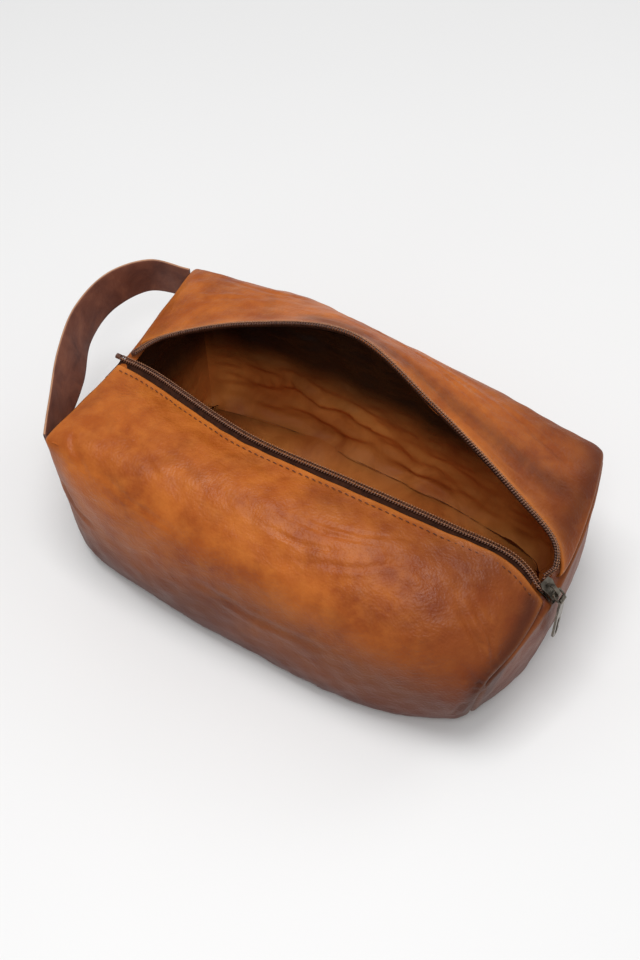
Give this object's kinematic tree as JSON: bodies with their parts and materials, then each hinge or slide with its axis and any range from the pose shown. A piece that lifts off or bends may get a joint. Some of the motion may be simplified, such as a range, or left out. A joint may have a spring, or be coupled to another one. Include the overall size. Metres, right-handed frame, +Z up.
{
  "type": "shaving kit bag",
  "caption": "Boxed leather wash bag with a lined open mouth, an open top zip and a strap handle bowed out of one end.",
  "frame": {"origin": "middle of the flat base's underside, the face the bag stands on", "axes": "+X along the length towards the end where the slider waits, +Y towards the back, the side whose mouth edge stands up, +Z up"},
  "size_m": [0.3096, 0.1604, 0.1491],
  "materials": {
    "body_leather": "oiled pull-up tan leather, satin",
    "strap_leather": "dark red-brown leather, pale cut edge",
    "lining_satin": "brown satin weave",
    "zip_tape": "dark brown woven tape",
    "zip_coil": "brown nylon coil",
    "gunmetal": "antique nickel plate"
  },
  "bodies": {
    "bag": {"front_panel": "body_leather", "back_panel": "body_leather", "left_end_panel": "body_leather", "right_end_panel": "body_leather", "base_panel": "body_leather", "lining_front": "lining_satin", "lining_back": "lining_satin", "lining_left_end": "lining_satin", "lining_right_end": "lining_satin", "lining_base": "lining_satin", "front_zip_tape": "zip_tape", "front_zip_coil": "zip_coil", "front_top_stop": "zip_coil", "zip_bottom_stop": "gunmetal", "handle_end_front": "strap_leather", "handle_end_back": "strap_leather"},
    "mouth_flap": {"back_flap": "body_leather", "lining_back_flap": "lining_satin", "back_zip_tape": "zip_tape", "back_zip_coil": "zip_coil", "back_top_stop": "zip_coil"},
    "slider": {"slider_body": "gunmetal", "slider_crown": "gunmetal"},
    "pull_ring": {"pull_ring": "gunmetal"},
    "pull_tab": {"pull_tab": "gunmetal"},
    "handle": {"handle_strap": "strap_leather"}
  },
  "joints": [
    {"name": "zip_travel", "type": "hinge", "parent": "bag", "child": "slider", "pos_m": [-0.01316, -0.00265, -0.44145], "axis": [-0.04, -0.9992, 0], "range_deg": [0, 26.56], "deforming": ["front_zip_tape", "front_zip_coil"]},
    {"name": "mouth_close", "type": "hinge", "parent": "bag", "child": "mouth_flap", "pos_m": [0, 0.066, 0.064], "axis": [1, 0, 0], "range_deg": [0, 41], "deforming": ["back_flap", "lining_back_flap", "back_zip_tape", "back_zip_coil", "back_top_stop"]},
    {"name": "pull_ring_tilt", "type": "hinge", "parent": "slider", "child": "pull_ring", "pos_m": [0.13761, -0.00948, 0.08575], "axis": [-0.0471, -0.9989, 0], "range_deg": [0, 63.75]},
    {"name": "pull_tab_swing", "type": "hinge", "parent": "pull_ring", "child": "pull_tab", "pos_m": [0.14132, -0.00966, 0.0824], "axis": [-0.0471, -0.9989, 0], "range_deg": [0, 150]},
    {"name": "handle_swing", "type": "hinge", "parent": "bag", "child": "handle", "pos_m": [-0.1275, 0, 0.0868], "axis": [0, 1, 0], "range_deg": [-30, 35], "deforming": ["handle_strap"]}
  ],
  "couplings": [
    {"joint": "mouth_close", "follows": "zip_travel", "ratio": 1.54},
    {"joint": "pull_ring_tilt", "follows": "zip_travel", "ratio": 2.4}
  ]
}
